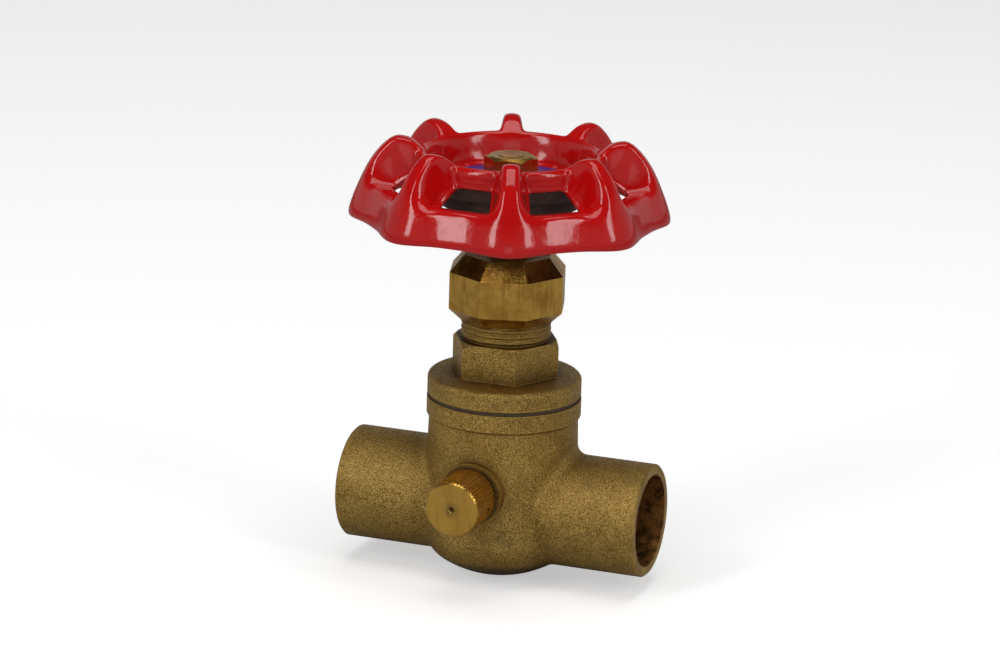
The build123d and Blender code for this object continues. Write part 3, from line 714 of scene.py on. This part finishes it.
class VALVE_OT_wheel_boss(bpy.types.Operator):
    """Models the unpainted boss and web under the wheel's well"""
    bl_idname = "valve.wheel_boss"
    bl_label = "Wheel boss"

    def execute(self, context):
        low = WHEEL_LOW.z
        deselect_all()
        bpy.ops.mesh.primitive_circle_add(
            vertices=64, radius=BOSS_RINGS[0][0] * MM, fill_type="NGON", location=(0, 0, low))
        boss = context.active_object
        boss.name = "bare_wheel_boss"
        bpy.ops.object.transform_apply(location=True, rotation=True, scale=True)
        bpy.ops.object.mode_set(mode="EDIT")
        bpy.ops.mesh.select_mode(type="FACE")
        bpy.ops.mesh.select_all(action="SELECT")
        before = BOSS_RINGS[0]
        for ring in BOSS_RINGS[1:]:
            bpy.ops.mesh.extrude_region_move(
                TRANSFORM_OT_translate={"value": (0, 0, (ring[1] - before[1]) * MM)})
            share = ring[0] / before[0]
            bpy.ops.transform.resize(
                value=(share, share, 1.0), center_override=(0, 0, low + ring[1] * MM))
            before = ring
        bpy.ops.mesh.select_all(action="SELECT")
        bpy.ops.mesh.normals_make_consistent(inside=False)
        bpy.ops.object.mode_set(mode="OBJECT")
        apply_modifier(boss, "BEVEL", width=BOSS_BEVEL, segments=2, limit_method="ANGLE")
        bpy.ops.object.shade_smooth_by_angle(angle=radians(35))
        boss.data.materials.append(bpy.data.materials["bare_wheel_casting"])
        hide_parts("handwheel")
        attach(boss, STEM_BODY)
        return {"FINISHED"}


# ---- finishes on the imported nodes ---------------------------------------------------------
class VALVE_OT_castings(bpy.types.Operator):
    """Gives the body and the bonnet their sand-cast bronze skin"""
    bl_idname = "valve.castings"
    bl_label = "Cast body and bonnet"

    def execute(self, context):
        values = context.scene.valve_cast
        paint(cast_bronze(values, "cast_body_skin", True), "valve_body")
        paint(cast_bronze(values), "bonnet")
        return {"FINISHED"}


class VALVE_OT_turned_parts(bpy.types.Operator):
    """Gives the nuts, the stem, the gland and the drain cap their brass"""
    bl_idname = "valve.turned_parts"
    bl_label = "Turned brass parts"

    def execute(self, context):
        brass = turned_brass(context.scene.valve_brass, dullness=0.7)
        paint(brass, "packing_nut", "packing_gland", "packing_washer")
        paint(turned_brass(context.scene.valve_brass, "bright_brass", 0.3, 0.35),
              "handwheel_nut")
        cap = turned_brass(context.scene.valve_brass, "cap_brass", 0.35, 0.9, True)
        paint(cap, "drain_cap")
        dull = turned_brass(context.scene.valve_brass, "stem_brass", 0.8)
        paint(dull, "stem", "disc_holder", "disc_holder_nut", "disc_washer", "disc_screw")
        return {"FINISHED"}


class VALVE_OT_soft_parts(bpy.types.Operator):
    """Gives the seals, the packing and the gasket their rubber, yarn and fibre"""
    bl_idname = "valve.soft_parts"
    bl_label = "Seals and packing"

    def execute(self, context):
        rubber = plain_finish("black_rubber", (0.03, 0.03, 0.03), 0.0, 0.6, 3000.0, 0.2)
        yarn = plain_finish("graphited_yarn", (0.16, 0.15, 0.14), 0.0, 0.7, 1500.0, 0.6)
        fibre = plain_finish("gasket_fibre", (0.12, 0.08, 0.04), 0.0, 0.8, 2500.0, 0.4)
        paint(rubber, "seat_disc", "drain_washer")
        paint(yarn, "packing_ring_1", "packing_ring_2", "packing_ring_3")
        paint(fibre, "bonnet_gasket")
        return {"FINISHED"}


class VALVE_OT_plate(bpy.types.Operator):
    """Gives the plain identification plate its blue-violet enamel"""
    bl_idname = "valve.plate"
    bl_label = "Identification plate"

    def execute(self, context):
        plate = plain_finish("plate_enamel", (0.06, 0.05, 0.33), 0.0, 0.35, 900.0, 0.1)
        paint(plate, "identification_plate")
        return {"FINISHED"}


# ---- studio -------------------------------------------------------------------------------
# Name, turn from the camera and rise in degrees, distance and sides in metres, level, share.
SOFTBOXES = (
    ("left_softbox", -46, 30, 0.9, (0.15, 0.55), "side", 1.05),
    ("right_softbox", 50, 30, 0.9, (0.15, 0.55), "side", 0.85),
    ("overhead_softbox", 0, 84, 0.9, (0.7, 0.7), "top", 1.0),
    ("front_fill", 0, 6, 1.2, (0.5, 0.5), "front", 1.0),
)


def view_matrix(values):
    back = Vector((sin(values.azimuth) * cos(values.elevation),
                   -cos(values.azimuth) * cos(values.elevation), sin(values.elevation)))
    target = Vector((values.target_x, 0, values.target_z))
    turn = Matrix.Rotation(values.azimuth, 4, "Z")
    tilt = Matrix.Rotation(pi / 2 - values.elevation, 4, "X")
    roll = Matrix.Rotation(values.roll, 4, "Z")
    return Matrix.Translation(target + back * values.distance) @ turn @ tilt @ roll


def softbox(context, name, azimuth, elevation, distance, sides, brightness, target):
    """Area light of a given brightness that faces the valve."""
    light = bpy.data.lights.new(name, "AREA")
    light.shape = "RECTANGLE"
    light.size, light.size_y = sides
    light.energy = brightness * pi * sides[0] * sides[1]
    lamp = bpy.data.objects.new(name, light)
    out = Vector((sin(azimuth) * cos(elevation), -cos(azimuth) * cos(elevation),
                  sin(elevation)))
    lamp.location = target + out * distance
    lamp.rotation_euler = out.to_track_quat("Z", "Y").to_euler()
    context.scene.collection.objects.link(lamp)


class VALVE_OT_studio(bpy.types.Operator):
    """Adds the camera, the pale floor, the softboxes and the room's light"""
    bl_idname = "valve.studio"
    bl_label = "Studio"

    def execute(self, context):
        values = context.scene.valve_studio
        self.add_camera(context, values)
        self.add_floor(context, values)
        target = Vector((0, 0, values.target_z))
        levels = {"side": values.side_light, "top": values.top_light,
                  "front": values.front_light}
        for name, turn, rise, distance, sides, level, share in SOFTBOXES:
            softbox(context, name, values.azimuth + radians(turn), radians(rise), distance,
                    sides, share * levels[level], target)
        self.add_room(context, values)
        return {"FINISHED"}

    def add_camera(self, context, values):
        data = bpy.data.cameras.new("camera")
        data.lens = values.focal
        data.sensor_width = 36.0
        data.clip_start = 0.01
        data.clip_end = 50.0
        camera = bpy.data.objects.new("camera", data)
        camera.matrix_world = view_matrix(values)
        context.scene.collection.objects.link(camera)
        context.scene.camera = camera

    def add_floor(self, context, values):
        deselect_all()
        bpy.ops.mesh.primitive_plane_add(size=values.floor_size, location=(0, 0, 0))
        floor = context.active_object
        floor.name = "studio_floor"
        material, tree, shader = new_material("pale_floor", 0.0, 0.9)
        path = add_node(tree, "ShaderNodeLightPath", (-600, 0))
        seen = path.outputs["Is Camera Ray"]
        dim = tuple(values.floor_bounce * part for part in values.floor_color)
        link(tree, mix_color(tree, (-300, 100), seen, dim, tuple(values.floor_color)),
             shader.inputs["Base Color"])
        lift = tuple(values.floor_lift * part for part in values.floor_color)
        link(tree, mix_color(tree, (-300, -100), seen, (0.0, 0.0, 0.0), lift),
             shader.inputs["Emission Color"])
        shader.inputs["Emission Strength"].default_value = 1.0
        floor.data.materials.append(material)

    def add_room(self, context, values):
        world = bpy.data.worlds.new("room")
        world.use_nodes = True
        tree = world.node_tree
        background = tree.nodes["Background"]
        background.inputs["Color"].default_value = (1.0, 1.0, 1.0, 1.0)
        sky = add_node(tree, "ShaderNodeTexCoord", (-1100, -200))
        split = add_node(tree, "ShaderNodeSeparateXYZ", (-900, -200))
        link(tree, sky.outputs["Generated"], split.inputs["Vector"])
        rise = calculate(tree, (-700, -200), "ABSOLUTE", split.outputs["Z"], 0.0)
        glow = map_range(tree, (-500, -200), rise, 0.30, 0.50, values.horizon, values.room)
        path = add_node(tree, "ShaderNodeLightPath", (-500, 100))
        strength = add_node(tree, "ShaderNodeMix", (-250, 0), data_type="FLOAT")
        link(tree, path.outputs["Is Camera Ray"], strength.inputs[0])
        link(tree, glow, strength.inputs[2])
        strength.inputs[3].default_value = 1.0
        link(tree, strength.outputs[0], background.inputs["Strength"])
        context.scene.world = world
        context.scene.view_settings.view_transform = "Standard"


# ---- panel and registration ---------------------------------------------------------------
PIECE_OPERATORS = (
    VALVE_OT_studio,
    VALVE_OT_castings,
    VALVE_OT_turned_parts,
    VALVE_OT_soft_parts,
    VALVE_OT_plate,
    VALVE_OT_handwheel,
    VALVE_OT_wheel_boss,
)


class VALVE_PT_panel(bpy.types.Panel):
    """Lists the pieces and the studio"""
    bl_idname = "VALVE_PT_panel"
    bl_label = "Stop Valve"
    bl_space_type = "VIEW_3D"
    bl_region_type = "UI"
    bl_category = "Stop Valve"

    def draw(self, context):
        for operator in PIECE_OPERATORS:
            self.layout.operator(operator.bl_idname)


VALUE_GROUPS = {
    "valve_studio": StudioValues,
    "valve_cast": CastValues,
    "valve_brass": BrassValues,
    "valve_wheel": WheelValues,
}


def register():
    for group in VALUE_GROUPS.values():
        bpy.utils.register_class(group)
    for name, group in VALUE_GROUPS.items():
        setattr(bpy.types.Scene, name, PointerProperty(type=group))
    for operator in PIECE_OPERATORS:
        bpy.utils.register_class(operator)
    bpy.utils.register_class(VALVE_PT_panel)


def unregister():
    bpy.utils.unregister_class(VALVE_PT_panel)
    for operator in reversed(PIECE_OPERATORS):
        bpy.utils.unregister_class(operator)
    for name in VALUE_GROUPS:
        delattr(bpy.types.Scene, name)
    for group in reversed(VALUE_GROUPS.values()):
        bpy.utils.unregister_class(group)


def main():
    register()
    for operator in PIECE_OPERATORS:
        family, call = operator.bl_idname.split(".")
        getattr(getattr(bpy.ops, family), call)()


if __name__ == "__main__":
    main()
